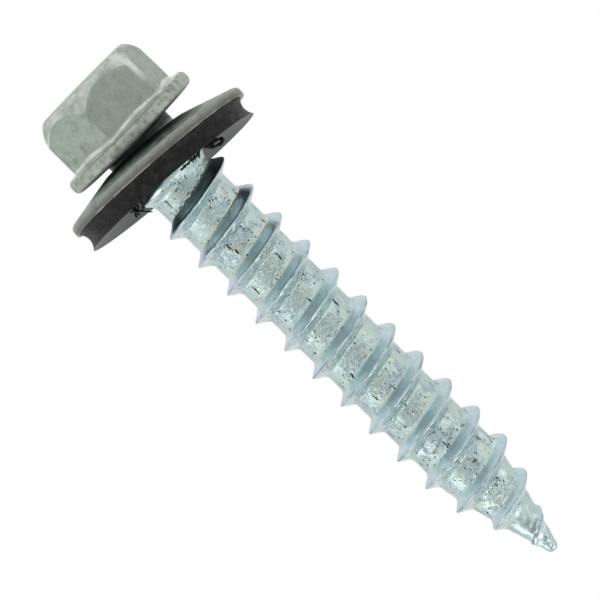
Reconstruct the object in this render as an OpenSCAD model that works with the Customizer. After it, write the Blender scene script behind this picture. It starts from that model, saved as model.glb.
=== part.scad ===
// Metal roofing screw: a hex washer head screw with a loose sealing washer on its neck.
// It stands on its head, point up, and the washer hangs on the neck where its rubber grips.

/* [Head] */
// Width across the flats of the hexagon
across_flats = 7.94; // [7:0.02:8.1]
// Height of the hexagon above the flange
hex_h = 3.75; // [2.5:0.05:5]
// Diameter of the flat on top of the head
crown_flat_d = 7; // [6:0.05:7.2]
// Depth under the top at which the crown meets the middle of a flat
crown_edge_h = 0.45; // [0.4:0.05:1]
// Depth under the top at which the crown meets a corner
crown_corner_h = 1.6; // [1.4:0.1:2.6]
// Turn of the hexagon about the screw's axis
hex_turn = 13.5; // [0:0.5:59]
// Diameter of the flange
flange_d = 10.5; // [9.8:0.05:12]
// Thickness of the flange at the hexagon's flats
flange_h = 1.15; // [0.8:0.05:1.8]
// Height that the flange's upper face falls from the flats to its edge
flange_drop = 0.25; // [0:0.05:0.4]
// Radius that rounds the edges of the flange
flange_r = 0.35; // [0.1:0.05:0.4]

/* [Neck] */
// Diameter of the plain neck that the washer rides on
neck_d = 5.2; // [4.9:0.05:5.5]
// Length of the plain neck under the flange
neck_h = 3.5; // [3:0.1:5]
// Radius of the fillet between flange and neck
neck_fillet = 0.3; // [0.1:0.05:0.4]
// Length of the cone that leads from the neck down to the core
neck_cone = 0.5; // [0.3:0.1:1]

/* [Thread] */
// Length of the screw under its flange
length = 38.8; // [25:0.1:60]
// Diameter over the thread
thread_d = 6.3; // [5.8:0.05:6.8]
// Diameter of the core between the threads
core_d = 4.65; // [4.2:0.05:4.8]
// Advance of the thread in one turn
pitch = 2.61; // [2.2:0.01:3.2]
// Width of the thread's ridge where it meets the core
ridge_w = 1.2; // [0.8:0.05:1.6]
// Width of the flat that is left on the ridge's crest
crest_w = 0.1; // [0.05:0.01:0.3]
// Distance under the flange at which the ridge begins to rise
thread_start = 3.65; // [3:0.05:6]
// Direction about the axis in which the ridge begins to rise
thread_turn = 270; // [0:9:351]
// Turns in which the ridge rises to its full height
rise_turns = 0.5; // [0.2:0.1:1]

/* [Point] */
// Length of the tapered point
point_h = 8.2; // [6:0.1:12]
// Curve of the point's side, where 1 is a plain cone
point_curve = 1.2; // [1:0.05:1.6]
// Curve by which the ridge dies out along the point
fade_curve = 2.5; // [1:0.1:4]
// Length at the tip that the thread doesn't reach
point_plain = 1.9; // [0.6:0.1:3]
// Radius of the rounded tip
tip_r = 0.45; // [0.2:0.05:0.5]

/* [Sealing washer] */
// Diameter of the steel disc
washer_d = 14.2; // [12.5:0.1:19]
// Thickness of the steel disc
steel_t = 0.65; // [0.5:0.05:1.2]
// Angle at which the disc is dished
dish = 15; // [8:1:18]
// Radius that rounds the disc's upper edge
steel_edge_r = 0.3; // [0.1:0.05:0.45]
// Diametral clearance of the steel disc's hole on the neck
steel_play = 1.6; // [1.5:0.05:2]
// Thickness of the rubber seal
seal_t = 1.3; // [0.8:0.05:2]
// How far the seal's edge lies inside the disc's rim
seal_inset = 0.27; // [0.1:0.01:0.6]
// Depth of the hollow that the die leaves round the seal's edge
seal_hollow = 0.2; // [0.05:0.01:0.3]
// Diametral clearance of the seal's hole on the neck
seal_play = 1.3; // [1.2:0.05:1.5]
// Thickness of the bond between disc and seal
bond_t = 0.02; // [0.01:0.01:0.05]

/* [Washer at rest] */
// Gap between flange and disc, along the axis
washer_gap = 0.85; // [0.65:0.05:1.2]
// Angle by which the washer leans towards the front on the neck
washer_lean = 7.4; // [0:0.1:8]
// Angle by which the washer is swung sideways on the neck
washer_swing = 5; // [0:0.1:5.5]
// Offset of the washer sideways, across the axis
washer_side = 0.1; // [0:0.05:0.2]
// Gap left between neck and seal on the side where they come nearest
neck_rest = 0.35; // [0.3:0.05:0.5]

/* [Hidden] */

screw_colour = [0.73, 0.78, 0.78];
steel_colour = [0.5, 0.52, 0.5];
rubber_colour = [0.14, 0.15, 0.14];

// Facets of the thread in one turn, of a rounded edge and of the crown in their sections
turn_facets = 40;
arc_facets = 6;
crown_facets = 8;
// Turns that close the screw's surface at its tip, and the depth of the cap they leave
closing_turns = 2;
tip_cap = 0.06;
// Depth of the thread's surface inside the neck before it comes out
root_cover = 0.1;
// How far the crown's revolved cutter reaches past the hexagon
cutter_margin = 0.2;

head_h = flange_h + hex_h;
hex_corner_r = across_flats / 2 / cos(30);
core_r = core_d / 2;
neck_r = neck_d / 2;
ridge_h = (thread_d - core_d) / 2;
point_start = length - point_h;
thread_end = length - point_plain;
steel_hole_r = (neck_d + steel_play) / 2;
seal_hole_r = (neck_d + seal_play) / 2;
washer_r = washer_d / 2;
washer_up = seal_play / 2 - neck_rest;

// Height of the disc's upper face at a radius, measured from the rim of its hole.
function dish_z(r) = -(r - steel_hole_r) * tan(dish);
steel_drop = steel_t / cos(dish);
seal_drop = steel_drop + bond_t;
seal_foot = seal_drop + seal_t / cos(dish);

// The middle of the seal's hole, where the washer hangs on the neck: under the disc, and under the flange.
hang_depth = (seal_drop + seal_foot) / 2 - dish_z(seal_hole_r);
hang_s = washer_gap + hang_depth;

// Points of an arc about a centre, from one angle to another.
function arc(centre, r, from, to) =
    [for (k = [0 : arc_facets]) let (a = from + (to - from) * k / arc_facets) centre + r * [cos(a), sin(a)]];

// Radius of the core at a distance s under the flange: straight, tapered, then round at the tip.
function taper_share(s) = min(1, max(0, (s - point_start) / (point_h - tip_r)));
function taper_r(s) = tip_r + (core_r - tip_r) * (1 - pow(taper_share(s), point_curve));
function tip_depth(s) = max(0, s - length + tip_r);
function shank_r(s) = tip_depth(s) > 0 ? sqrt(max(0, tip_r * tip_r - tip_depth(s) * tip_depth(s))) : taper_r(s);

// Height of the ridge at a distance s: it rises from the neck and dies out along the point.
function rise_share(s) = min(1, max(0, (s - thread_start) / (rise_turns * pitch)));
function fade_share(s) = min(1, max(0, (s - point_start) / (thread_end - point_start)));
function ridge_at(s) = ridge_h * rise_share(s) * (1 - pow(fade_share(s), fade_curve));

// One turn's section of the thread, as [share of the pitch, share of the ridge's height].
thread_section = [
    [0, 0],
    [(ridge_w - crest_w) / 2 / pitch, 1],
    [(ridge_w + crest_w) / 2 / pitch, 1],
    [ridge_w / pitch, 0],
    [(1 + ridge_w / pitch) / 2, 0]
];
section_n = len(thread_section);
crest_share = ridge_w / 2 / pitch;

// The threaded surface begins whole turns above the ridge's start, inside the neck.
buried_turns = ceil((thread_start - crest_share * pitch + pitch + root_cover - neck_h) / pitch);
surface_start = thread_start - (crest_share + buried_turns) * pitch;
threaded_turns = (thread_end - surface_start) / pitch;
all_turns = ceil(threaded_turns + closing_turns);
row_n = section_n * (all_turns - 1);

// Distance under the flange after a number of turns: even pitch, then drawn together at the tip.
function turned(q) = q <= threaded_turns
    ? surface_start + pitch * q
    : let (left = 1 - (q - threaded_turns) / (all_turns - threaded_turns))
      thread_end + (point_plain - tip_cap) * (1 - pow(left, 3));
function row_turns(i) = floor(i / section_n) + thread_section[i % section_n][0];

// A point on the thread's surface, in row i of its section and column j round the axis.
function thread_point(i, j) =
    let (
        s = turned(row_turns(i) + j / turn_facets),
        r = shank_r(s) + thread_section[i % section_n][1] * ridge_at(s),
        a = thread_turn - 360 * j / turn_facets
    ) [r * cos(a), r * sin(a), -s];

// A row's last column is the first column one section further on.
function thread_index(i, j) = j < turn_facets ? i * turn_facets + j
    : i + section_n <= row_n ? (i + section_n) * turn_facets
    : (row_n + 1) * turn_facets + i + section_n - row_n - 1;

// Core, ridge and point as one closed surface that winds down the axis like the thread itself.
module threaded_shank() {
    grid = [for (i = [0 : row_n], j = [0 : turn_facets - 1]) thread_point(i, j)];
    last_column = [for (i = [row_n - section_n + 1 : row_n]) thread_point(i, turn_facets)];
    top = len(grid) + len(last_column);
    tip = top + 1;
    columns = [0 : turn_facets - 1];
    sides = [for (i = [0 : row_n - 1], j = columns, half = [0, 1]) half == 0
        ? [thread_index(i, j), thread_index(i + 1, j), thread_index(i + 1, j + 1)]
        : [thread_index(i, j), thread_index(i + 1, j + 1), thread_index(i, j + 1)]];
    top_cap = concat(
        [for (j = columns) [top, thread_index(0, j), thread_index(0, j + 1)]],
        [for (i = [0 : section_n - 1]) [top, thread_index(i + 1, 0), thread_index(i, 0)]]);
    tip_end = concat(
        [for (j = columns) [tip, thread_index(row_n, j + 1), thread_index(row_n, j)]],
        [for (i = [row_n - section_n : row_n - 1])
            [tip, thread_index(i, turn_facets), thread_index(i + 1, turn_facets)]]);
    polyhedron(concat(grid, last_column, [[0, 0, -surface_start], [0, 0, -length]]),
        concat(sides, top_cap, tip_end));
}

// Section of flange, fillet, neck and the cone under it.
module flange_and_neck() {
    edge_x = flange_d / 2 - flange_r;
    rotate_extrude($fn = 96)
        polygon(concat(
            [[0, flange_h], [0, -neck_h - neck_cone], [core_r - root_cover, -neck_h - neck_cone], [neck_r, -neck_h]],
            arc([neck_r + neck_fillet, -neck_fillet], neck_fillet, 180, 90),
            arc([edge_x, flange_r], flange_r, -90, 0),
            arc([edge_x, flange_h - flange_drop - flange_r], flange_r, 0, 90),
            [[across_flats / 2, flange_h]]));
}

// Radius of the crown at a depth under the top: level with the flat there, and steeper as it goes down.
crown_flat_r = crown_flat_d / 2;
crown_edge_w = across_flats / 2 - crown_flat_r;
crown_curve = ln((hex_corner_r - crown_flat_r) / crown_edge_w) / ln(crown_corner_h / crown_edge_h);
function crown_r(depth) = crown_flat_r + crown_edge_w * pow(depth / crown_edge_h, crown_curve);

// Hexagon with a crown that eases its top edge and its corners, so that each flat ends in an arch.
module hexagon() {
    crown_end = crown_corner_h + cutter_margin;
    steps = [for (k = [0 : crown_facets]) crown_end * pow(k / crown_facets, 2)];
    intersection() {
        rotate([0, 0, hex_turn + 30])
            cylinder(r = hex_corner_r, h = head_h, $fn = 6);
        rotate_extrude($fn = 96)
            polygon(concat(
                [[0, head_h]],
                [for (depth = steps) [crown_r(depth), head_h - depth]],
                [[crown_r(crown_end), 0], [0, 0]]));
    }
}

// Stands what is modelled on the screw's own axis on its head, with its front towards -Y.
module at_rest() {
    translate([0, 0, head_h])
        rotate([0, 0, -90])
            rotate([180, 0, 0])
                children();
}

// Sets what is modelled on the washer's own axis on the neck, turned about the middle of the seal's hole.
module on_neck() {
    at_rest()
        translate([washer_up, -washer_side, -hang_s])
            rotate([-washer_swing, -washer_lean, 0])
                translate([0, 0, hang_depth])
                    children();
}

module screw() {
    color(screw_colour)
        at_rest()
            union() {
                flange_and_neck();
                hexagon();
                threaded_shank();
            }
}

module steel_washer() {
    edge_x = washer_r - steel_edge_r;
    color(steel_colour)
        on_neck()
            rotate_extrude($fn = 96)
                polygon(concat(
                    [[steel_hole_r, 0], [steel_hole_r, -steel_drop], [washer_r, dish_z(washer_r) - steel_drop]],
                    arc([edge_x, dish_z(edge_x) - steel_edge_r / cos(dish)], steel_edge_r, 0, 90 - dish)));
}

module rubber_seal() {
    seal_r = washer_r - seal_inset;
    top_z = dish_z(seal_r) - seal_drop;
    foot_z = dish_z(seal_r) - seal_foot;
    chord = top_z - foot_z;
    hollow_r = (chord * chord / 4 + seal_hollow * seal_hollow) / 2 / seal_hollow;
    spread = asin(chord / 2 / hollow_r);
    color(rubber_colour)
        on_neck()
            rotate_extrude($fn = 96)
                polygon(concat(
                    [[seal_hole_r, dish_z(seal_hole_r) - seal_drop], [seal_hole_r, dish_z(seal_hole_r) - seal_foot]],
                    arc([seal_r - seal_hollow + hollow_r, (top_z + foot_z) / 2], hollow_r, 180 + spread, 180 - spread)));
}

screw();
steel_washer();
rubber_seal();
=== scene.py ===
import bmesh
import bpy
import numpy as np
from mathutils import Matrix, Vector


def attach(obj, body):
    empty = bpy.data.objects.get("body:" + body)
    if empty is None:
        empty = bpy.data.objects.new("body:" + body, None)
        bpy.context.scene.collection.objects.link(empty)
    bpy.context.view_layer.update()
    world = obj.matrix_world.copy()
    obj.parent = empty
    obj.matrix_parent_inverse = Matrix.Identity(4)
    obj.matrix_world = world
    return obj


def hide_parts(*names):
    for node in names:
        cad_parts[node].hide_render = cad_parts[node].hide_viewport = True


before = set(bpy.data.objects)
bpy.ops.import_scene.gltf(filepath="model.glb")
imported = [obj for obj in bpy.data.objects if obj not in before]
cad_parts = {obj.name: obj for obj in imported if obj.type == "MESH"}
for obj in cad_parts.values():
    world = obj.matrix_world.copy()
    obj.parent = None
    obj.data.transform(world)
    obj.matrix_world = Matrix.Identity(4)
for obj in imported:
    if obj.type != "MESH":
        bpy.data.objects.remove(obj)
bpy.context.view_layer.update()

# Screw
# One piece of steel wire, cold forged at the head and rolled along the thread, then zinc plated: matte and
# grey on the head, bright and crinkled between the threads. It stands on the flat top of its hexagon.
MM = 0.001
head_h = 4.9
across_flats = 7.94
hex_turn = np.radians(13.5)
corner_round_foot = 0.25
corner_round_top = 0.45
corner_fill_start = 0.4
crown_flat_r = 3.5
crown_edge_h = 0.45
crown_corner_h = 1.5
crown_blend = 0.07
crown_shift = 0.12
flange_h = 1.15
flange_r = 5.25
flange_round = 0.35
flange_drop = 0.18
corner_fillet = 0.2
flat_fillet = 0.32
corner_fillet_turn = 0.12
neck_r = 2.6
neck_h = 3.5
neck_cone = 0.5
neck_fillet = 0.3
length = 38.8
core_r = 2.325
ridge_h = 0.825
ridge_w = 1.2
crest_w = 0.1
root_soft = 0.09
crest_soft = 0.16
pitch = 2.61
thread_start = 3.65
thread_turn = np.radians(270.0)
rise_turns = 0.5
run_in = 0.3
run_in_h = 1.4
point_h = 8.2
point_curve = 1.2
point_plain = 1.9
fade_curve = 2.5
tip_r = 0.45
crest_wobble = 0.02
root_ripple = 0.007
ripple_in = (neck_h - 1.0, neck_h)
ripple_out = (length - 3.0, length - 2.4)
lap_h = 0.1
lap_gap = 0.15
lap_w = 0.12
lap_in = (length - 3.4, length - 2.6)
lap_out = (length - 1.1, length - 0.6)
lap_mean = 0.7
lap_vary = 0.4
tip_ripple = 0.016

first_corner = np.radians(150.0)
sector_columns = 24
round_columns = 6 * sector_columns
corner_crowding = 0.5
crest_crowding = 0.45
pitch_rows = 30
top_row_count = 10
side_row_count = 44
bend_row_count = 9
spread_row_count = 8
rim_row_count = 6


def smooth_min(a, b, width):
    """The smaller of two values, with the step between them eased over a width."""
    share = np.clip(0.5 + 0.5 * (b - a) / width, 0, 1)
    return b + (a - b) * share - width * share * (1 - share)


def ease(value, low, high):
    """0 below low, 1 above high, and a smooth step between."""
    share = np.clip((value - low) / (high - low), 0, 1)
    return share * share * (3 - 2 * share)


def waves(turn, along, seed, count, reach, fine):
    """A sum of sines round and along the axis, with whole wave numbers up to a reach round it and up to a
    fineness along it, between about -1 and 1."""
    dice = np.random.default_rng(seed)
    total = 0
    for _ in range(count):
        about = dice.integers(-reach, reach + 1)
        total = total + np.sin(about * turn + dice.uniform(-fine, fine) * along + dice.uniform(0, 2 * np.pi))
    return total / np.sqrt(count)


def stand(turn, r, s):
    """Points at an angle from the front, a radius and a distance above the flange's seat, in the standing
    frame."""
    turn, r, s = np.broadcast_arrays(turn, r, s)
    return np.stack([-r * np.sin(turn), -r * np.cos(turn), head_h + s], axis=-1)


def round_faces(row_n, column_n, shift=0):
    """Four-sided faces of a grid that closes round its columns. With a shift, a row goes on that many rows
    later."""
    i, j = np.meshgrid(np.arange(row_n - 1), np.arange(column_n), indexing="ij")
    last = j == column_n - 1
    side = np.where(last, 0, j + 1)
    upper = np.minimum(i + shift * last, row_n - 1)
    lower = np.minimum(i + 1 + shift * last, row_n - 1)
    corners = [i * column_n + j, upper * column_n + side, lower * column_n + side, (i + 1) * column_n + j]
    return np.stack(corners, axis=-1).reshape(-1, 4)


def make_piece(name, points, faces, marks):
    """A smooth mesh object from points in millimetres, with marks as named values on the points. Points that
    meet are merged, faces without area go, and normals are turned outwards."""
    closest = 1e-7
    mesh = bpy.data.meshes.new(name)
    mesh.from_pydata(points * MM, [], faces)
    for mark_name, values in marks.items():
        store = mesh.attributes.new(mark_name, "FLOAT", "POINT")
        store.data.foreach_set("value", np.ascontiguousarray(values, np.float32))
    work = bmesh.new()
    work.from_mesh(mesh)
    bmesh.ops.remove_doubles(work, verts=work.verts, dist=closest)
    bmesh.ops.dissolve_degenerate(work, edges=work.edges, dist=closest)
    bmesh.ops.recalc_face_normals(work, faces=work.faces)
    work.to_mesh(mesh)
    work.free()
    mesh.shade_smooth()
    piece = bpy.data.objects.new(name, mesh)
    bpy.context.collection.objects.link(piece)
    return piece


# Columns start at a corner of the hexagon on the back and crowd together at its corners.
share = np.arange(round_columns) / sector_columns
share = share - corner_crowding * np.sin(2 * np.pi * share) / (2 * np.pi)
columns = hex_turn + first_corner - share * np.pi / 3

# Hexagon: the die fills its corners less and less towards the top, so their rounding grows up the head. A
# small fillet at its foot is wider on the flats than at the corners.
half_flats = across_flats / 2
half_sector = np.pi / 6
off_corner = np.abs((columns - hex_turn) % (np.pi / 3) - half_sector)
fillet_growth = ease(off_corner, corner_fillet_turn, half_sector)
hex_fillet = corner_fillet + (flat_fillet - corner_fillet) * fillet_growth
side_h = head_h - flange_h - hex_fillet
depth = side_h * np.linspace(0, 1, side_row_count)[:, None] ** 2


def hexagon(corner_round):
    """Radius of a hexagon with rounded corners in each column: the flat's line, or near a corner its arc."""
    arc_out = (half_flats - corner_round) / np.cos(half_sector)
    arc_turn = np.arctan2(corner_round / 2, arc_out + corner_round * np.cos(half_sector))
    flat_line = half_flats / np.cos(half_sector - off_corner)
    reach = np.maximum(corner_round**2 - (arc_out * np.sin(off_corner)) ** 2, 0)
    return np.where(off_corner < arc_turn, arc_out * np.cos(off_corner) + np.sqrt(reach), flat_line)


corner_fill = ease(depth, corner_fill_start, side_h)
side_hexagon = hexagon(corner_round_top + (corner_round_foot - corner_round_top) * corner_fill)
hex_radius = side_hexagon[-1]

# Crown: a radius that leaves the flat top level and steepens down the hexagon, cut back to the hexagon. The
# die stood a little off centre, so it is cut less deep towards -X.
edge_w = half_flats - crown_flat_r
corner_w = half_flats / np.cos(half_sector) - crown_flat_r
crown_curve = np.log(corner_w / edge_w) / np.log(crown_corner_h / crown_edge_h)
top_rows = np.linspace(0, 1, top_row_count)[:-1]
crown_radius = crown_flat_r + edge_w * (depth / crown_edge_h) ** crown_curve
crown_radius = crown_radius + crown_shift * np.maximum(np.sin(columns), 0) ** 2
side_radius = smooth_min(crown_radius, side_hexagon, crown_blend)
top_radius = top_rows[:, None] * side_radius[:1]

# Fillet, flange and neck: the flange's upper face falls to a rounded rim, and its flat seat meets the neck.
bend = np.linspace(0, np.pi / 2, bend_row_count)[1:, None]
spread = np.linspace(0, 1, spread_row_count)[1:, None]
edge_radius = flange_r - flange_round
fillet_radius = hex_radius + hex_fillet * (1 - np.cos(bend))
fall = flange_drop / (edge_radius - half_flats)
foot_s = -flange_h + fall * (fillet_radius[-1:] - half_flats)
fillet_s = foot_s - hex_fillet * (1 - np.sin(bend))
flange_radius = fillet_radius[-1:] + (edge_radius - fillet_radius[-1:]) * spread
flange_s = -flange_h + fall * (flange_radius - half_flats)
rim_upper = edge_radius + flange_round * np.sin(bend)
rim_upper_s = -flange_h + flange_drop + flange_round * (1 - np.cos(bend))
rim_side_s = np.linspace(rim_upper_s[-1, 0], -flange_round, rim_row_count)[1:, None]
rim_lower = edge_radius + flange_round * np.cos(bend)
rim_lower_s = -flange_round + flange_round * np.sin(bend)
seat = edge_radius + (neck_r + neck_fillet - edge_radius) * spread
neck_curve = neck_r + neck_fillet * (1 - np.sin(bend))
neck_curve_s = neck_fillet * (1 - np.cos(bend))


def rows_of(r, s):
    """Rows of radius and distance, spread over every column."""
    r, s = np.broadcast_arrays(r, s)
    shape = (len(r), round_columns)
    return np.broadcast_to(r, shape), np.broadcast_to(s, shape)


head_rows = [
    rows_of(top_radius, -head_h),
    rows_of(side_radius, depth - head_h),
    rows_of(fillet_radius, fillet_s),
    rows_of(flange_radius, flange_s),
    rows_of(rim_upper, rim_upper_s),
    rows_of(flange_r, rim_side_s),
    rows_of(rim_lower, rim_lower_s),
    rows_of(seat, 0.0),
    rows_of(neck_curve, neck_curve_s),
]
head_r = np.concatenate([r for r, s in head_rows])
head_s = np.concatenate([s for r, s in head_rows])

# Thread: rows wind down the axis with the ridge, so that its crest stays sharp. The first and the last turn
# lie folded together at the neck and at the tip.
step = np.arange(pitch_rows) / pitch_rows
step = step + crest_crowding * np.sin(2 * np.pi * step) / (2 * np.pi)
turns = int(np.ceil((length + 3 * pitch) / pitch))
wound = (np.arange(turns)[:, None] + step[None, :]).reshape(-1, 1)
column_lead = (thread_turn - columns[0] + (columns[0] - columns)) / (2 * np.pi)
first_turn = -2 - np.ceil(thread_start / pitch)
shank_s = thread_start + pitch * (first_turn + wound - 0.5 + column_lead[None, :])
shank_s = np.clip(shank_s, neck_fillet, length)
phase = (shank_s - thread_start) / pitch - (thread_turn - columns[None, :]) / (2 * np.pi)
past_crest = (phase - np.round(phase)) * pitch
off_crest = np.abs(past_crest)
slope_share = (ridge_w / 2 - off_crest) / ((ridge_w - crest_w) / 2)
ridge_share = root_soft * np.logaddexp(0, slope_share / root_soft)
ridge_share = smooth_min(ridge_share, np.ones_like(ridge_share), crest_soft)
rise = np.clip((shank_s - thread_start) / (rise_turns * pitch), 0, 1)
rise = np.maximum(rise, run_in * ease(shank_s, thread_start - run_in_h, thread_start))
point_start = length - point_h
fade = np.clip((shank_s - point_start) / (point_h - point_plain), 0, 1)
wobble = waves(columns[None, :], shank_s, seed=3, count=16, reach=5, fine=1.5)
ridge = ridge_h * rise * (1 - fade**fade_curve) * ridge_share * (1 + crest_wobble * wobble)

# Core: a short cone under the neck, a straight core, a tapered point and a round tip. It ripples between the
# threads, and near the tip the rolled metal is folded into two ragged laps.
taper = np.clip((shank_s - point_start) / (point_h - tip_r), 0, 1)
taper_r = tip_r + (core_r - tip_r) * (1 - taper**point_curve)
cone = np.clip((shank_s - neck_h) / neck_cone, 0, 1)
core = np.where(shank_s < neck_h + neck_cone, neck_r + (core_r - neck_r) * cone, taper_r)
tip_depth = np.clip(shank_s - length + tip_r, 0, tip_r)
core = np.where(tip_depth > 0, np.sqrt(tip_r**2 - tip_depth**2), core)
root_waves = waves(columns[None, :], shank_s, seed=5, count=40, reach=26, fine=12.0)
on_shank = ease(shank_s, *ripple_in) * (1 - ease(shank_s, *ripple_out))
root_swell = root_ripple * root_waves * (1 - np.minimum(ridge_share, 1)) * on_shank
lap_before = np.exp(-(((past_crest + lap_gap) / lap_w) ** 2))
lap_after = np.exp(-(((past_crest - lap_gap) / lap_w) ** 2))
lap_reach = ease(shank_s, *lap_in) * (1 - ease(shank_s, *lap_out))
lap_rag = lap_mean + lap_vary * waves(columns[None, :], shank_s, seed=8, count=20, reach=12, fine=9.0)
laps = lap_h * (lap_before + lap_after) * lap_reach * lap_rag
tip_waves = waves(columns[None, :], shank_s, seed=9, count=24, reach=7, fine=9.0)
shank_r = core + ridge + root_swell + laps + tip_ripple * tip_waves * lap_reach

# Marks on the points that the plating follows: the painted highlight along the hexagon's foot and the flange,
# the worn corners on the head, and the place on the thread.
bright_zone = (0.2, 1.6)
corner_reach = (0.04, 0.3)
crown_inside = 0.8
fillet_highlight = 0.75
flange_highlight = 0.9
flange_margin = 0.01
no_turn = -9.0
side_start = len(top_rows)
fillet_start = side_start + len(depth)
flange_start = fillet_start + len(bend)
flange_end = flange_start + len(spread)
below_crown = np.full_like(head_r, pitch)
below_crown[side_start:fillet_start] = crown_radius - side_hexagon
below_crown[:side_start] = below_crown[side_start]
corner_share = 1 - ease(off_corner, *corner_reach)
corner_share = corner_share * ease(head_r, crown_inside * crown_flat_r, crown_flat_r)
# Painted highlight: its shares on the hexagon's fillet and on the flange's upper face.
highlight_share = np.zeros_like(head_r)
highlight_share[fillet_start:flange_start] = fillet_highlight
highlight_share[flange_start:flange_end] = flange_highlight


def on_screw(head_values, shank_values):
    """Values for the head's points and then for the shank's, each an array or one number for all."""
    on_head = np.broadcast_to(head_values, head_r.shape).ravel()
    return np.concatenate([on_head, np.broadcast_to(shank_values, shank_r.shape).ravel()])


screw_marks = {
    "bright": ease(on_screw(head_s, shank_s), *bright_zone),
    "along": on_screw(head_s, shank_s),
    "line": on_screw(highlight_share, 0.0),
    "flange": on_screw(head_s > foot_s.min() - flange_margin, 0.0),
    "below_crown": on_screw(below_crown, pitch),
    "corner": on_screw(corner_share, 0.0),
    "ridge": on_screw(0.0, ridge_share * rise),
    "off_crest": on_screw(pitch, off_crest),
    "flank": on_screw(0.0, np.sin(2 * np.pi * phase)),
    "wound": on_screw(no_turn, phase),
}
head_points = stand(columns[None, :], head_r, head_s).reshape(-1, 3)
shank_points = stand(columns[None, :], shank_r, shank_s).reshape(-1, 3)
head_faces = round_faces(len(head_r), round_columns)
shank_faces = round_faces(len(shank_r), round_columns, pitch_rows) + len(head_points)
screw = make_piece(
    "screw",
    np.concatenate([head_points, shank_points]),
    np.concatenate([head_faces, shank_faces]),
    screw_marks,
)


def add(tree, kind, inputs, **settings):
    """A shader node of a kind with its settings. Each named input gets a value or another node's output."""
    made = tree.nodes.new("ShaderNode" + kind)
    for name, value in settings.items():
        setattr(made, name, value)
    for name, value in inputs.items():
        if isinstance(value, bpy.types.NodeSocket):
            tree.links.new(value, made.inputs[name])
        else:
            made.inputs[name].default_value = value
    return made


def sums(tree, operation, *values):
    """One sum of a Math node on numbers or outputs."""
    return add(tree, "Math", dict(enumerate(values)), operation=operation).outputs[0]


def product(tree, first, *others):
    """Numbers or outputs multiplied together, one after another."""
    for other in others:
        first = sums(tree, "MULTIPLY", first, other)
    return first


def tint(tree, share, first, second):
    """A colour between two colours, by a share."""
    return add(tree, "Mix", {0: share, 6: first, 7: second}, data_type="RGBA").outputs[2]


def band(tree, value, low, high, first=0.0, last=1.0):
    """A value that eases from first to last while its input goes from low to high."""
    inputs = {"Value": value, "From Min": low, "From Max": high, "To Min": first, "To Max": last}
    return add(tree, "MapRange", inputs, interpolation_type="SMOOTHSTEP").outputs["Result"]


def fading(tree, value, low, high):
    """A value that eases from 1 to 0 while its input goes from low to high."""
    return band(tree, value, low, high, 1.0, 0.0)


def mark(tree, name):
    """A value kept on the mesh's points."""
    return add(tree, "Attribute", {}, attribute_name=name).outputs["Fac"]


def new_group(name, inputs, output):
    """A node group with number inputs and one number output: its tree, its inputs and its output's socket."""
    tree = bpy.data.node_groups.new(name, "ShaderNodeTree")
    for each in inputs:
        tree.interface.new_socket(name=each, in_out="INPUT", socket_type="NodeSocketFloat")
    tree.interface.new_socket(name=output, in_out="OUTPUT", socket_type="NodeSocketFloat")
    return tree, tree.nodes.new("NodeGroupInput").outputs, tree.nodes.new("NodeGroupOutput").inputs[0]


def effect(tree, kind, **values):
    """A shared effect placed in a material with its own values."""
    return add(tree, "Group", values, node_tree=kind).outputs[0]


def millimetres(tree):
    """Object coordinates in millimetres."""
    place = add(tree, "TexCoord", {}).outputs["Object"]
    return add(tree, "VectorMath", {0: place, "Scale": 1 / MM}, operation="SCALE").outputs[0]


def bent_place(tree, scale, detail, reach):
    """Object coordinates in millimetres, pushed about by a noise of a scale by up to a reach."""
    place = millimetres(tree)
    noise = add(tree, "TexNoise", {"Vector": place, "Scale": scale, "Detail": detail}).outputs["Color"]
    pushed = {0: noise, 1: (reach, reach, reach), 2: place}
    return add(tree, "VectorMath", pushed, operation="MULTIPLY_ADD").outputs[0]


def chosen_cells(tree, cell, share):
    """1 in a share of a Voronoi texture's cells, picked by their colour, and 0 in the others."""
    pick = add(tree, "SeparateXYZ", {0: cell.outputs["Color"]}).outputs[0]
    return sums(tree, "LESS_THAN", pick, share)


# Patches: cloudy areas of a size in millimetres, from 0 to 1 between two levels of a noise.
patches, given, patch_mask = new_group("uneven_patches", ("Size", "Low", "High"), "Mask")
grain = sums(patches, "DIVIDE", 1.0, given["Size"])
patch_inputs = {"Vector": millimetres(patches), "Scale": grain, "Detail": 3.0, "Roughness": 0.6}
cloud = add(patches, "TexNoise", patch_inputs).outputs[0]
patches.links.new(band(patches, cloud, given["Low"], given["High"]), patch_mask)

# Short cracks: a share of thin spots along the axis, bent by a noise, of a width and length in millimetres.
spot_span = 0.4
spot_edge = (0.14, 0.23)
cracks, given, crack_mask = new_group("short_cracks", ("Width", "Length", "Share"), "Mask")
across = sums(cracks, "DIVIDE", spot_span, given["Width"])
along = sums(cracks, "DIVIDE", spot_span, given["Length"])
stretch = add(cracks, "CombineXYZ", {"X": across, "Y": across, "Z": along}).outputs[0]
spot = bent_place(cracks, scale=2.2, detail=2.0, reach=0.3)
spot = add(cracks, "VectorMath", {0: spot, 1: stretch}, operation="MULTIPLY").outputs[0]
cell = add(cracks, "TexVoronoi", {"Vector": spot, "Scale": 1.0})
near = fading(cracks, cell.outputs["Distance"], *spot_edge)
cracks.links.new(product(cracks, near, chosen_cells(cracks, cell, given["Share"])), crack_mask)

# Crinkle: the height of a skin wrinkled at a size in millimetres.
crinkle, given, crinkle_height = new_group("crinkled_skin", ("Size",), "Height")
grain = sums(crinkle, "DIVIDE", 1.0, given["Size"])
skin_inputs = {
    "Vector": millimetres(crinkle),
    "Scale": grain,
    "Detail": 1.5,
    "Roughness": 0.5,
    "Distortion": 0.5,
}
crinkle.links.new(add(crinkle, "TexNoise", skin_inputs).outputs[0], crinkle_height)

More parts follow.
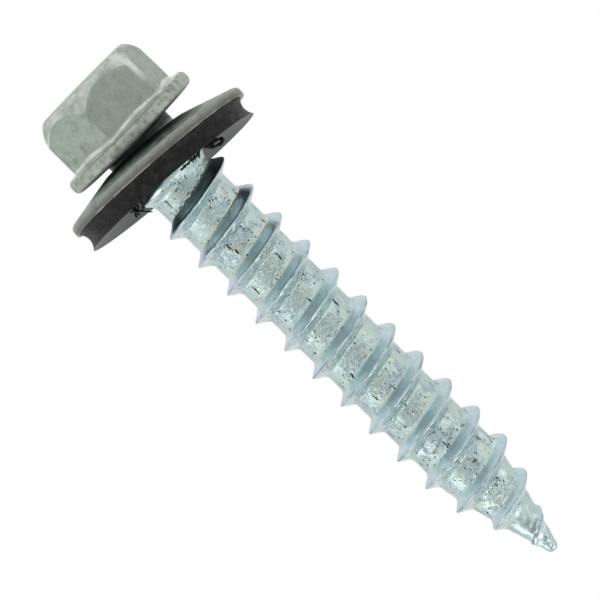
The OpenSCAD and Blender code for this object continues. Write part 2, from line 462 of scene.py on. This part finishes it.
# Flakes: cells of a size in millimetres that the plating has lifted in. A share of the cells is chosen: 0
# outside them, and inside them a height that grows from their edges to their middles.
least_flake = 0.01
flakes, given, flake_height = new_group("lifted_flakes", ("Size", "Share"), "Height")
flake_inputs = {
    "Vector": bent_place(flakes, scale=2.0, detail=3.0, reach=0.7),
    "Scale": sums(flakes, "DIVIDE", 1.0, given["Size"]),
}
cell = add(flakes, "TexVoronoi", flake_inputs)
border = add(flakes, "TexVoronoi", flake_inputs, feature="DISTANCE_TO_EDGE").outputs["Distance"]
lifted = sums(flakes, "ADD", border, least_flake)
flakes.links.new(product(flakes, lifted, chosen_cells(flakes, cell, given["Share"])), flake_height)

# Rolled streaks: fine lines a width in millimetres apart, across a distance that is given, each a few long.
streak_stretch = (0.5, 0.5, 0.5)
streak_levels = (0.4, 0.66)
streaks, given, streak_mask = new_group("rolled_streaks", ("Across", "Width"), "Mask")
lane = add(streaks, "CombineXYZ", {"X": sums(streaks, "DIVIDE", given["Across"], given["Width"])}).outputs[0]
lane_inputs = {0: millimetres(streaks), 1: streak_stretch, 2: lane}
spot = add(streaks, "VectorMath", lane_inputs, operation="MULTIPLY_ADD").outputs[0]
cloud = add(streaks, "TexNoise", {"Vector": spot, "Scale": 1.0, "Detail": 2.0}).outputs[0]
streaks.links.new(band(streaks, cloud, *streak_levels), streak_mask)


def varied(tree, first, last, **patch):
    """A value that goes from first to last in uneven patches."""
    return band(tree, effect(tree, patches, **patch), 0.0, 1.0, first, last)


def new_material(name):
    """A material with nodes, and its tree."""
    material = bpy.data.materials.new(name)
    material.use_nodes = True
    return material, material.node_tree


def coat(piece, material, colour, rough, height, bump_depth, plain):
    """The material put on a piece: its shader gets a colour, a roughness, a height as a bump of a depth in
    metres, and plain values."""
    tree = material.node_tree
    bump = add(tree, "Bump", {"Height": height, "Strength": 1.0, "Distance": bump_depth})
    shader = tree.nodes["Principled BSDF"]
    for name, value in plain.items():
        shader.inputs[name].default_value = value
    tree.links.new(colour, shader.inputs["Base Color"])
    tree.links.new(rough, shader.inputs["Roughness"])
    tree.links.new(bump.outputs[0], shader.inputs["Normal"])
    piece.data.materials.append(material)


# Zinc between the threads: pale, with blue clouds, dark specks and straw stains that stop at the smooth
# point. Limits named turns count the thread's turns from its start; the others are millimetres or shares.
zinc, tree = new_material("zinc_plating")
at = {name: mark(tree, name) for name in screw_marks}
zinc_pale = (0.55, 0.685, 0.655, 1)
zinc_blue = (0.46, 0.58, 0.62, 1)
zinc_dark = (0.2, 0.25, 0.25, 1)
zinc_straw = (0.58, 0.665, 0.57, 1)
root_limits = (0.03, 0.35)
tip_side = (0.1, 0.5)
tip_side_skin = 0.8
speck_depth = 0.5
straw_depth = 0.55
straw_turns = (10.8, 11.4)
straw_on_point = 0.15
root_share = fading(tree, at["ridge"], *root_limits)
tip_side_share = band(tree, at["flank"], *tip_side, 0.0, tip_side_skin)
coarse_share = sums(tree, "MAXIMUM", root_share, tip_side_share)
shank_colour = tint(tree, effect(tree, patches, Size=0.9, Low=0.42, High=0.66), zinc_pale, zinc_blue)
speck = effect(tree, patches, Size=0.13, Low=0.6, High=0.76)
shank_colour = tint(tree, product(tree, speck, coarse_share, speck_depth), shank_colour, zinc_dark)
straw = effect(tree, patches, Size=1.1, Low=0.48, High=0.64)
straw_reach = band(tree, at["wound"], *straw_turns, 1.0, straw_on_point)
shank_colour = tint(tree, product(tree, straw, straw_depth, straw_reach), shank_colour, zinc_straw)

# Sides of the ridge: smooth and blue, with painted shade on the first turns, where they reflect the dark
# washer, and along the crest, dimming its highlight. The side that faces the tip is painted paler, a painted
# light. Clouds and rolled streaks; the streaks go on over the smooth point, and a straw line runs along the
# ridge's foot.
flank_shade = (0.38, 0.5, 0.555, 1)
flank_blue = (0.57, 0.71, 0.77, 1)
tip_flank_painted_light = (0.8, 0.9, 0.89, 1)
flank_streak = (0.33, 0.42, 0.44, 1)
zinc_line = (0.66, 0.72, 0.6, 1)
flank_depth = 0.8
shaded_turns = (0.3, 2.4)
side_change = (-0.1, 0.1)
crest_limits = (0.05, 0.2)
crest_depth = 0.6
cloud_depth = 0.5
streak_depth = 0.28
cone_turns = (11.1, 11.3)
cone_streak_depth = 0.3
line_inner = (0.48, 0.6)
line_outer = (0.62, 0.78)
line_side = (-0.5, -0.2)
line_turns = (1.5, 4.5)
line_strong = 0.7
line_faint = 0.1
flank_share = product(tree, fading(tree, root_share, 0.0, 1.0), flank_depth)
# Painted shade: the first turns are darker where they reflect the dark washer.
flank_colour = tint(tree, band(tree, at["wound"], *shaded_turns), flank_shade, flank_blue)
# Painted light: the side of the ridge that faces the tip is paler.
flank_colour = tint(tree, band(tree, at["flank"], *side_change), flank_colour, tip_flank_painted_light)
# Painted shade along the crest, dimming its highlight.
crest_share = band(tree, at["off_crest"], *crest_limits, crest_depth, 0.0)
flank_colour = tint(tree, crest_share, flank_colour, flank_shade)
flank_cloud = effect(tree, patches, Size=0.55, Low=0.45, High=0.68)
flank_colour = tint(tree, product(tree, flank_cloud, cloud_depth), flank_colour, flank_shade)
streak = effect(tree, streaks, Across=at["off_crest"], Width=0.06)
flank_colour = tint(tree, product(tree, streak, streak_depth), flank_colour, flank_streak)
shank_colour = tint(tree, flank_share, shank_colour, flank_colour)
cone_streak = product(tree, streak, band(tree, at["wound"], *cone_turns), cone_streak_depth)
shank_colour = tint(tree, cone_streak, shank_colour, flank_streak)
root_line = product(
    tree,
    band(tree, at["off_crest"], *line_inner),
    fading(tree, at["off_crest"], *line_outer),
    fading(tree, at["flank"], *line_side),
    band(tree, at["wound"], *line_turns, line_strong, line_faint),
)
shank_colour = tint(tree, root_line, shank_colour, zinc_line)

# Head: dull zinc with smudges that are darker towards +X, worn silver on the crown, round the flat top, along
# the crown's edge towards +X and down the corner towards -X.
head_dull = (0.345, 0.41, 0.355, 1)
head_pale = (0.4, 0.465, 0.41, 1)
head_smudge = (0.23, 0.275, 0.235, 1)
head_silver = (0.76, 0.8, 0.75, 1)
smudge_side = (0.0, 2.5)
smudge_faint = 0.4
smudge_strong = 0.75
crown_limits = (-0.06, 0.03)
rim_height = (-4.8, -4.4)
rim_radius = (3.3, 3.5)
rim_wear = 0.7
arc_outer = (-0.26, -0.04)
arc_inner = (-0.01, 0.04)
arc_side = (1.2, 2.4)
arc_wear = 0.75
corner_limits = (0.95, 1.0)
corner_side = (-1.5, 1.0)
corner_wear = 0.8
corner_height = (-3.3, -2.0)
place = millimetres(tree)
sideways = add(tree, "SeparateXYZ", {0: place}).outputs["X"]
level_place = add(tree, "VectorMath", {0: place, 1: (1, 1, 0)}, operation="MULTIPLY").outputs[0]
off_axis = add(tree, "VectorMath", {0: level_place}, operation="LENGTH").outputs["Value"]
head_colour = tint(tree, effect(tree, patches, Size=0.5, Low=0.35, High=0.7), head_dull, head_pale)
smudge = effect(tree, patches, Size=0.75, Low=0.5, High=0.75)
smudge = product(tree, smudge, band(tree, sideways, *smudge_side, smudge_faint, smudge_strong))
head_colour = tint(tree, smudge, head_colour, head_smudge)
worn = varied(tree, 0.12, 0.5, Size=1.1, Low=0.35, High=0.7)
worn_corner = product(tree, at["corner"], varied(tree, 0.5, 0.0, Size=3.0, Low=0.4, High=0.6))
worn = product(tree, sums(tree, "ADD", worn, worn_corner), fading(tree, at["below_crown"], *crown_limits))
head_colour = tint(tree, worn, head_colour, head_silver)
top_rim = product(
    tree,
    fading(tree, at["along"], *rim_height),
    band(tree, off_axis, *rim_radius),
    effect(tree, patches, Size=0.7, Low=0.38, High=0.6),
    rim_wear,
)
head_colour = tint(tree, top_rim, head_colour, head_silver)
crown_arc = product(
    tree,
    band(tree, at["below_crown"], *arc_outer),
    fading(tree, at["below_crown"], *arc_inner),
    band(tree, sideways, *arc_side, 0.0, arc_wear),
    effect(tree, patches, Size=0.9, Low=0.36, High=0.62),
)
head_colour = tint(tree, crown_arc, head_colour, head_silver)
corner_line = product(
    tree,
    band(tree, at["corner"], *corner_limits),
    band(tree, sideways, *corner_side, corner_wear, 0.0),
    fading(tree, at["along"], *corner_height),
)
head_colour = tint(tree, corner_line, head_colour, head_silver)

# Flange: paler grey patches, a painted light against the dark washer that it reflects, with dark flecks; and
# a painted highlight, white and broken, where the hexagon stands on it and over the flange's upper face.
flange_grey = (0.45, 0.48, 0.44, 1)
flange_fleck = (0.22, 0.225, 0.2, 1)
painted_highlight_white = (0.9, 0.93, 0.88, 1)
fleck_depth = 0.6
# Painted light: paler patches over the flange, against the dark washer it reflects.
flange_light_patches = effect(tree, patches, Size=0.3, Low=0.3, High=0.6)
head_colour = tint(tree, product(tree, flange_light_patches, at["flange"]), head_colour, flange_grey)
fleck = effect(tree, patches, Size=0.4, Low=0.48, High=0.66)
head_colour = tint(tree, product(tree, fleck, at["flange"], fleck_depth), head_colour, flange_fleck)
# Painted highlight: a white line at the hexagon's foot and over the flange's upper face, broken in patches.
highlight_breaks = varied(tree, 0.5, 0.95, Size=0.8, Low=0.35, High=0.6)
head_colour = tint(tree, product(tree, highlight_breaks, at["line"]), head_colour, painted_highlight_white)
colour = tint(tree, at["bright"], head_colour, shank_colour)

# Flakes: bright lifted plating on the last turns, with dark gaps round it.
flake_white = (0.74, 0.85, 0.84, 1)
flake_turns = (7.6, 8.6)
flake_end_turns = (11.0, 11.2)
flake_rise = (0.05, 0.35)
gap_inner = (0.002, 0.008)
gap_outer = (0.025, 0.05)
gap_depth = 0.8
flake = effect(tree, flakes, Size=1.0, Share=0.6)
flake_area = product(
    tree,
    band(tree, at["wound"], *flake_turns),
    root_share,
    fading(tree, at["wound"], *flake_end_turns),
)
flake_face = product(tree, band(tree, flake, *flake_rise), flake_area)
colour = tint(tree, flake_face, colour, flake_white)
flake_gap = product(
    tree,
    band(tree, flake, *gap_inner),
    fading(tree, flake, *gap_outer),
    effect(tree, patches, Size=0.5, Low=0.42, High=0.6),
    flake_area,
    gap_depth,
)

# Cracks: long and short ones between the threads, fewer long ones towards the tip, with the flakes' gaps, a
# dark seam along the crest and one in the fold at the tip.
crack_black = (0.02, 0.024, 0.024, 1)
long_turns = (4.0, 7.0)
long_share_first = 0.6
long_share_last = 0.3
short_share = 0.35
crack_end_turns = (10.9, 11.1)
seam_limits = (0.02, 0.06)
seam_depth = 0.55
lap_start_turns = (11.92, 11.96)
lap_end_turns = (11.99, 12.04)
lap_depth = 0.6
long_share = band(tree, at["wound"], *long_turns, long_share_first, long_share_last)
long_crack = effect(tree, cracks, Width=0.13, Length=0.85, Share=long_share)
short_crack = effect(tree, cracks, Width=0.1, Length=0.18, Share=short_share)
crack = sums(tree, "MAXIMUM", long_crack, short_crack)
crack = product(tree, crack, coarse_share, at["bright"], fading(tree, at["wound"], *crack_end_turns))
lap_seam = product(
    tree,
    band(tree, at["wound"], *lap_start_turns),
    fading(tree, at["wound"], *lap_end_turns),
    effect(tree, patches, Size=0.35, Low=0.4, High=0.6),
    lap_depth,
)
crack = sums(tree, "MAXIMUM", sums(tree, "MAXIMUM", crack, flake_gap), lap_seam)
crest_seam = product(
    tree,
    fading(tree, at["off_crest"], *seam_limits),
    effect(tree, patches, Size=0.9, Low=0.46, High=0.62),
    seam_depth,
)
colour = tint(tree, sums(tree, "MAXIMUM", crack, crest_seam), colour, crack_black)

# Painted shade under the flange and down the top of the neck, where the gap over the washer is dark; weaker
# towards the flange's rim.
painted_shade_black = (0.035, 0.042, 0.039, 1)
shade_start = (-0.1, -0.02)
shade_end = (0.45, 1.2)
shade_radius = (3.8, 5.0)
shade_inside = 0.95
shade_outside = 0.5
painted_shade = product(
    tree,
    band(tree, at["along"], *shade_start),
    fading(tree, at["along"], *shade_end),
    band(tree, off_axis, *shade_radius, shade_inside, shade_outside),
)
colour = tint(tree, painted_shade, colour, painted_shade_black)

# Wrinkles in patches between the threads, shallow at the neck, on the flakes and on the smooth point, and
# deeper again at the tip. The cracks are cut into the same height.
noise_middle = 0.5
fold_gain = 2.0
skin_limits = (0.0, 0.12)
least_wrinkle = 0.1
plain_wrinkle = 0.02
neck_turns = (-0.2, 0.7)
neck_wrinkle = 0.5
smooth_turns = (11.1, 11.4)
point_wrinkle = 0.12
flake_wrinkle = 0.25
tip_turns = (11.75, 11.9)
tip_wrinkle = 0.2
crack_cut = 0.25
zinc_bump_depth = 0.00016
flank_rough = 0.3
root_rough = 0.38
point_shine = 0.72
wrinkle = sums(tree, "SUBTRACT", effect(tree, crinkle, Size=0.4), noise_middle)
wrinkle = product(tree, sums(tree, "ABSOLUTE", wrinkle), fold_gain)
skin_share = sums(tree, "MAXIMUM", fading(tree, at["ridge"], *skin_limits), tip_side_share)
wrinkle_depth = product(tree, skin_share, varied(tree, 0.25, 1.0, Size=0.9, Low=0.45, High=0.62))
wrinkle_depth = product(
    tree,
    sums(tree, "ADD", wrinkle_depth, least_wrinkle),
    at["bright"],
    band(tree, at["wound"], *neck_turns, neck_wrinkle, 1.0),
)
wrinkle_depth = product(
    tree,
    sums(tree, "ADD", wrinkle_depth, plain_wrinkle),
    band(tree, at["wound"], *smooth_turns, 1.0, point_wrinkle),
    band(tree, flake_face, 0.0, 1.0, 1.0, flake_wrinkle),
)
at_tip = product(tree, band(tree, at["wound"], *tip_turns), tip_wrinkle)
height = product(tree, wrinkle, sums(tree, "ADD", wrinkle_depth, at_tip))
height = sums(tree, "SUBTRACT", height, product(tree, crack, crack_cut))
head_rough = varied(tree, 0.42, 0.56, Size=0.4, Low=0.3, High=0.7)
shank_rough = band(tree, root_share, 0.0, 1.0, flank_rough, root_rough)
shank_rough = product(tree, shank_rough, band(tree, at["wound"], *smooth_turns, 1.0, point_shine))
rough = add(tree, "Mix", {0: at["bright"], 2: head_rough, 3: shank_rough}).outputs[0]
coat(screw, zinc, colour, rough, height, zinc_bump_depth, {"Metallic": 1.0})
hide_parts("screw")
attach(screw, "screw")

# Steel washer
# A disc punched from galvanised sheet and dished in the press. It hangs loose on the neck, tipped to one
# side, and can slide between the flange and the thread.
washer_r = 7.1
steel_hole_r = 3.4
steel_t = 0.65
dish = np.radians(15.0)
steel_edge_r = 0.3
hole_edge_r = 0.12
lower_edge_r = 0.06
hang_depth = 1.325667
hang_s = 2.175667
washer_up = 0.3
washer_side = 0.1
lean = np.radians(7.4)
swing = np.radians(5.0)
ring_columns = 192
section_step = 0.15


def hang(turn, r, z):
    """Points of the washer at an angle, a radius and a height on its own axis, swung, leaned and hung on the
    neck."""
    turn, r, z = np.broadcast_arrays(turn, r, z)
    x, y, z = r * np.cos(turn), r * np.sin(turn), z + hang_depth
    y, z = y * np.cos(swing) + z * np.sin(swing), z * np.cos(swing) - y * np.sin(swing)
    x, z = x * np.cos(lean) - z * np.sin(lean), z * np.cos(lean) + x * np.sin(lean)
    return np.stack([washer_side - y, -x - washer_up, head_h + hang_s - z], axis=-1)


def rounded_section(corners, radii, facets=8):
    """A closed section with each corner replaced by an arc of its radius, as points of radius and height."""
    out = []
    for k in range(len(corners)):
        here = np.array(corners[k], float)
        back = np.array(corners[k - 1], float) - here
        on = np.array(corners[(k + 1) % len(corners)], float) - here
        back, on = back / np.linalg.norm(back), on / np.linalg.norm(on)
        half = np.arccos(np.clip(back @ on, -1, 1)) / 2
        centre = here + (back + on) / np.linalg.norm(back + on) * radii[k] / np.sin(half)
        first = here + back * radii[k] / np.tan(half) - centre
        last = here + on * radii[k] / np.tan(half) - centre
        way = np.linspace(0, 1, facets + 1)[:, None]
        spin = np.pi - 2 * half
        out.append(centre + (first * np.sin((1 - way) * spin) + last * np.sin(way * spin)) / np.sin(spin))
    return np.concatenate(out)


def fill_section(section, longest):
    """Points added along a closed section until no step is longer than a given length."""
    ends = np.roll(section, -1, axis=0)
    counts = np.maximum(1, np.ceil(np.linalg.norm(ends - section, axis=1) / longest).astype(int))
    parts = [
        a + (b - a) * (np.arange(n) / n)[:, None]
        for a, b, n in zip(section, ends, counts)
    ]
    return np.concatenate(parts)


slope = np.tan(dish)
steel_drop = steel_t / np.cos(dish)
rim_top = -(washer_r - steel_hole_r) * slope
steel_section = rounded_section(
    [(steel_hole_r, 0), (steel_hole_r, -steel_drop), (washer_r, rim_top - steel_drop), (washer_r, rim_top)],
    [hole_edge_r, lower_edge_r, lower_edge_r, steel_edge_r],
)
steel_section = fill_section(steel_section, section_step)
steel_r, steel_z = steel_section.T
hole_shade = (steel_hole_r + 0.6, washer_r - 0.7)
rim_zone = (washer_r - 0.06, washer_r - 0.01)
edge_zone = (0.1, 0.5)
burr_zone = (0.03, 0.1)
steel_marks = {
    "by_hole": 1 - ease(steel_r, *hole_shade),
    "rim": ease(steel_r, *rim_zone),
    "edge": 1 - ease(np.hypot(steel_r - washer_r, steel_z - rim_top), *edge_zone),
    "burr": 1 - ease(np.hypot(steel_r - washer_r, steel_z - rim_top + steel_drop), *burr_zone),
}
ring_turn = np.linspace(0, 2 * np.pi, ring_columns, endpoint=False)
steel_points = hang(ring_turn[None, :], steel_section[:, :1], steel_section[:, 1:])
steel_points = np.concatenate([steel_points, steel_points[:1]])
steel_washer = make_piece(
    "steel_washer",
    steel_points.reshape(-1, 3),
    round_faces(len(steel_points), ring_columns),
    {name: np.repeat(np.append(values, values[0]), ring_columns) for name, values in steel_marks.items()},
)

# Galvanised sheet: grey with dark and pale patches, a dark cut rim, painted shade round the hole, where the
# dark gap under the flange is reflected, a darker uneven band along the rounded upper edge, and a bright
# burr.
sheet_grey = (0.4, 0.435, 0.405, 1)
sheet_dark = (0.26, 0.28, 0.255, 1)
sheet_pale = (0.44, 0.465, 0.43, 1)
sheet_shade = (0.1, 0.16, 0.145, 1)
sheet_rim = (0.17, 0.165, 0.15, 1)
sheet_edge = (0.33, 0.365, 0.33, 1)
sheet_burr = (0.5, 0.5, 0.47, 1)
shade_depth = 0.85
sheet_bump_depth = 0.000006
galvanised, tree = new_material("galvanised_sheet")
at = {name: mark(tree, name) for name in steel_marks}
colour = tint(tree, effect(tree, patches, Size=0.8, Low=0.38, High=0.66), sheet_grey, sheet_dark)
colour = tint(tree, effect(tree, patches, Size=0.22, Low=0.5, High=0.72), colour, sheet_pale)
colour = tint(tree, at["rim"], colour, sheet_rim)
# Painted shade round the hole, standing for the dark gap under the flange that the dish reflects.
colour = tint(tree, product(tree, at["by_hole"], shade_depth), colour, sheet_shade)
edge_patches = varied(tree, 0.65, 1.0, Size=0.6, Low=0.35, High=0.6)
colour = tint(tree, product(tree, at["edge"], edge_patches), colour, sheet_edge)
burr = product(tree, at["burr"], effect(tree, patches, Size=1.6, Low=0.46, High=0.6))
colour = tint(tree, burr, colour, sheet_burr)
rough = varied(tree, 0.4, 0.56, Size=0.5, Low=0.3, High=0.7)
sheet_height = effect(tree, crinkle, Size=0.16)
coat(steel_washer, galvanised, colour, rough, sheet_height, sheet_bump_depth, {"Metallic": 1.0})
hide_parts("steel_washer")
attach(steel_washer, "sealing_washer")

# Rubber seal
# A ring of black rubber bonded under the steel disc and cut with it, so its edge is hollow and its lower lip
# flares out.
bond_t = 0.02
seal_t = 1.3
seal_hole_r = 3.25
seal_r = 6.83
seal_hollow = 0.26
hollow_curve = 0.8
cut_shift = 0.07
skin_depth = (0.005, 0.06)
lip_rows = 15
seal_drop = steel_drop + bond_t
seal_foot = seal_drop + seal_t / np.cos(dish)
lip = np.linspace(0, 1, lip_rows)[:, None]
edge_top = -(seal_r - steel_hole_r) * slope - seal_drop
edge_foot = -(seal_r - steel_hole_r) * slope - seal_foot
hollow = seal_hollow * np.sin(np.pi * lip) ** hollow_curve
edge = np.concatenate([seal_r - hollow, edge_foot + (edge_top - edge_foot) * lip], axis=1)
hole_top = (seal_hole_r, -(seal_hole_r - steel_hole_r) * slope - seal_drop)
hole_foot = (seal_hole_r, -(seal_hole_r - steel_hole_r) * slope - seal_foot)
seal_section = fill_section(np.concatenate([[hole_top, hole_foot], edge]), section_step)
outward = (seal_section[:, :1] - seal_hole_r) / (seal_r - seal_hole_r)
seal_radius = seal_section[:, :1] - cut_shift * outward * np.sin(ring_turn)[None, :]
seal_points = hang(ring_turn[None, :], seal_radius, seal_section[:, 1:])
seal_points = np.concatenate([seal_points, seal_points[:1]])
foot_line = -(seal_section[:, 0] - steel_hole_r) * slope - seal_foot
skin = 1 - ease(seal_section[:, 1] - foot_line, *skin_depth)

# Shreds torn from the hole's rim when the washer was pushed over the thread. Each is a line of points, given
# as distance towards the front, distance towards -X and lift off the seal's face, and its first and last
# thickness.
shreds = [
    (
        [(0.3, -3.5, -0.2), (0.3, -3.0, 0.5), (0.2, -3.1, 0.72), (0.2, -3.25, 0.85), (0.15, -3.4, 1.12)],
        0.15,
        0.06,
    ),
    ([(0.2, -3.05, 0.82), (0.2, -3.3, 0.68), (0.2, -3.5, 0.56)], 0.12, 0.05),
    ([(0.25, -3.1, 0.85), (0.3, -3.28, 0.52)], 0.11, 0.05),
    ([(0.2, -3.1, 0.78), (0.2, -3.17, 1.2)], 0.11, 0.05),
    (
        [(0.2, -3.2, 0.8), (0.4, -3.05, 0.95), (0.7, -2.85, 1.18), (0.95, -2.66, 1.42), (1.1, -2.52, 1.6),
         (1.2, -2.36, 1.76)],
        0.09,
        0.03,
    ),
    (
        [(1.2, -3.1, -0.2), (1.3, -2.55, 0.6), (1.1, -2.52, 0.95), (0.9, -2.65, 1.1), (0.5, -2.85, 1.2)],
        0.2,
        0.07,
    ),
    ([(0.5, -3.4, -0.2), (0.5, -2.8, 0.75), (0.4, -2.88, 0.86), (0.3, -3.03, 0.9)], 0.12, 0.06),
    (
        [(0.3, 3.4, -0.2), (0.4, 2.95, 0.55), (0.35, 3.18, 0.64), (0.3, 3.49, 0.6), (0.25, 3.77, 0.53),
         (0.2, 4.04, 0.58), (0.2, 4.1, 0.76), (0.25, 3.9, 0.92), (0.3, 3.54, 0.9), (0.3, 3.32, 0.88),
         (0.35, 3.14, 0.8), (0.4, 2.95, 0.66)],
        0.15,
        0.1,
    ),
    ([(0.4, 3.05, -0.1), (0.45, 2.93, 0.6), (0.4, 3.15, 0.7), (0.3, 3.5, 0.72)], 0.18, 0.1),
    ([(0.2, 4.02, 0.56), (0.2, 4.18, 0.48), (0.2, 4.22, 0.64)], 0.05, 0.03),
    ([(1.7, 2.8, -0.2), (1.6, 2.46, 0.72), (1.78, 2.12, 1.1)], 0.13, 0.03),
    (
        [(1.6, 2.75, -0.2), (1.75, 2.4, 0.7), (1.9, 2.2, 0.88), (2.1, 2.0, 0.84), (2.3, 1.78, 0.92),
         (2.42, 1.6, 0.86), (2.55, 1.38, 0.95), (2.65, 1.15, 0.9), (2.74, 0.9, 0.98), (2.8, 0.7, 0.94)],
        0.12,
        0.06,
    ),
    ([(2.35, 1.7, 0.6), (2.3, 1.72, 0.95), (2.2, 1.66, 1.12)], 0.07, 0.03),
]
shred_columns = 8
shred_smoothing = 3
shred_rag = 0.25
shred_thinnest = 0.6
shred_thickest = 1.5
shred_cross = (0.3, 0.9, 0.3)


def cut_corners(path, times):
    """A line of points with each corner cut at a quarter and three quarters, some times over, ends kept."""
    for _ in range(times):
        pairs = np.stack([0.75 * path[:-1] + 0.25 * path[1:], 0.25 * path[:-1] + 0.75 * path[1:]], axis=1)
        path = np.concatenate([path[:1], pairs.reshape(-1, 3), path[-1:]])
    return path


def shred(path, thick, thin, seed):
    """A ragged round strand along a smoothed line: rings across its direction, closed to a point at both
    ends."""
    line = cut_corners(np.array(path, float), shred_smoothing)
    out = np.hypot(line[:, 0], line[:, 1])
    foot = -(out - steel_hole_r) * slope - seal_foot
    middle = hang(np.arctan2(line[:, 1], line[:, 0]), out, foot - line[:, 2])
    ahead = np.gradient(middle, axis=0)
    ahead = ahead / np.linalg.norm(ahead, axis=1, keepdims=True)
    first = np.cross(ahead, shred_cross)
    first = first / np.linalg.norm(first, axis=1, keepdims=True)
    second = np.cross(ahead, first)
    share = np.linspace(0, 1, len(line))
    ragged = 1 + shred_rag * waves(share * 2 * np.pi, share, seed, count=6, reach=9, fine=3.0)
    reach = (thick + (thin - thick) * share) * np.clip(ragged, shred_thinnest, shred_thickest)
    reach[[0, -1]] = 0
    spin = np.linspace(0, 2 * np.pi, shred_columns, endpoint=False)
    ring = first[:, None] * np.cos(spin)[None, :, None] + second[:, None] * np.sin(spin)[None, :, None]
    return middle[:, None] + ring * reach[:, None, None]


shred_grids = [shred(path, thick, thin, seed) for seed, (path, thick, thin) in enumerate(shreds)]
rubber_parts = [seal_points] + shred_grids
rubber_starts = np.cumsum([0] + [part.shape[0] * part.shape[1] for part in rubber_parts])
rubber_faces = [
    round_faces(part.shape[0], part.shape[1]) + start for part, start in zip(rubber_parts, rubber_starts)
]
skin_marks = np.zeros(rubber_starts[-1])
skin_marks[: rubber_starts[1]] = np.repeat(np.append(skin, skin[0]), ring_columns)
rubber_seal = make_piece(
    "rubber_seal",
    np.concatenate([part.reshape(-1, 3) for part in rubber_parts]),
    np.concatenate(rubber_faces),
    {"skin": skin_marks},
)

# Rubber: black with a little dust, and a smoother moulded skin on its lower face, whose greyer colour is a
# painted sheen.
rubber_black = (0.0075, 0.0085, 0.0075, 1)
rubber_dusty = (0.023, 0.026, 0.023, 1)
skin_sheen_grey = (0.028, 0.038, 0.035, 1)
skin_rough = 0.4
rubber_bump_depth = 0.00001
rubber, tree = new_material("black_rubber")
on_skin = mark(tree, "skin")
colour = tint(tree, effect(tree, patches, Size=0.55, Low=0.42, High=0.7), rubber_black, rubber_dusty)
# Painted sheen: the skin on the lower face is greyer.
colour = tint(tree, on_skin, colour, skin_sheen_grey)
rough = varied(tree, 0.45, 0.65, Size=0.3, Low=0.3, High=0.7)
rough = add(tree, "Mix", {0: on_skin, 2: rough, 3: skin_rough}).outputs[0]
rubber_height = effect(tree, crinkle, Size=0.22)
coat(rubber_seal, rubber, colour, rough, rubber_height, rubber_bump_depth, {"Specular IOR Level": 0.22})
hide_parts("rubber_seal")
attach(rubber_seal, "sealing_washer")

# Floor
# A plain white table under the head. The camera and metal see it partly as glowing white, and it can be
# looked through from below, where the camera stands.
floor_half = 0.6
floor_paint = (0.85, 0.85, 0.85, 1)
floor_glow = 0.75
floor_corners = [(x * floor_half, y * floor_half, 0) for x, y in ((-1, -1), (1, -1), (1, 1), (-1, 1))]
floor_mesh = bpy.data.meshes.new("floor")
floor_mesh.from_pydata(floor_corners, [], [(0, 1, 2, 3)])
floor = bpy.data.objects.new("floor", floor_mesh)
bpy.context.collection.objects.link(floor)
floor_white, tree = new_material("white_table")
tree.nodes.clear()
ray = add(tree, "LightPath", {}).outputs
seen = sums(tree, "MAXIMUM", ray["Is Camera Ray"], ray["Is Glossy Ray"])
paint = add(tree, "BsdfDiffuse", {"Color": floor_paint}).outputs[0]
glow = add(tree, "Emission", {}).outputs[0]
lit = add(tree, "MixShader", {"Fac": product(tree, seen, floor_glow), 1: paint, 2: glow}).outputs[0]
clear = add(tree, "BsdfTransparent", {}).outputs[0]
from_below = add(tree, "NewGeometry", {}).outputs["Backfacing"]
both = add(tree, "MixShader", {"Fac": from_below, 1: lit, 2: clear}).outputs[0]
add(tree, "OutputMaterial", {"Surface": both})
floor_mesh.materials.append(floor_white)

# Light
# A white tent that is bright at the sides and dimmer in front, where the camera looks in, and three soft
# lamps. The camera itself sees the tent as plain white.
tent_front = (-1.0, -0.25)
tent_dim = 0.42
tent_bright = 0.88
world = bpy.data.worlds.new("white_tent")
world.use_nodes = True
bpy.context.scene.world = world
tent = world.node_tree
tent.nodes.clear()
way = add(tent, "TexCoord", {}).outputs["Generated"]
frontward = add(tent, "SeparateXYZ", {0: way}).outputs["Y"]
cloth_light = band(tent, frontward, *tent_front, tent_dim, tent_bright)
seen = add(tent, "LightPath", {}).outputs["Is Camera Ray"]
strength = add(tent, "Mix", {0: seen, 2: cloth_light, 3: 1.0}).outputs[0]
cloth = add(tent, "Background", {"Color": (1, 1, 1, 1), "Strength": strength}).outputs[0]
add(tent, "OutputWorld", {"Surface": cloth})
lamp_target = (0, 0, 0.02)


def soft_lamp(name, place, size, watts):
    """A square lamp that looks at the middle of the screw."""
    lamp = bpy.data.lights.new(name, "AREA")
    lamp.size = size
    lamp.energy = watts
    holder = bpy.data.objects.new(name, lamp)
    bpy.context.collection.objects.link(holder)
    holder.location = place
    aim = np.array(lamp_target) - np.array(place)
    holder.rotation_euler = Vector(aim).to_track_quat("-Z", "Y").to_euler()


soft_lamp("left_lamp", place=(-0.3, -0.2, 0.15), size=0.25, watts=0.1)
soft_lamp("right_lamp", place=(0.35, -0.1, 0.2), size=0.25, watts=0.22)
soft_lamp("top_lamp", place=(-0.05, -0.2, 0.45), size=0.3, watts=0.35)

# Camera
# A little under table level and turned on its side, so that the screw runs from the upper left to the lower
# right.
camera_data = bpy.data.cameras.new("camera")
camera_data.sensor_width = 36.0
camera_data.lens = 215.54
camera_data.clip_start = 0.01
camera = bpy.data.objects.new("camera", camera_data)
bpy.context.collection.objects.link(camera)
right = (-0.697705, -0.09553, 0.709987)
up = (-0.715939, 0.058006, -0.695749)
back = (0.025281, -0.993735, -0.108865)
eye = (0.005957, -0.2330602, -0.0055428)
camera.matrix_world = Matrix([(right[k], up[k], back[k], eye[k]) for k in range(3)] + [(0, 0, 0, 1)])
bpy.context.scene.camera = camera

bpy.context.scene.view_settings.view_transform = "Standard"
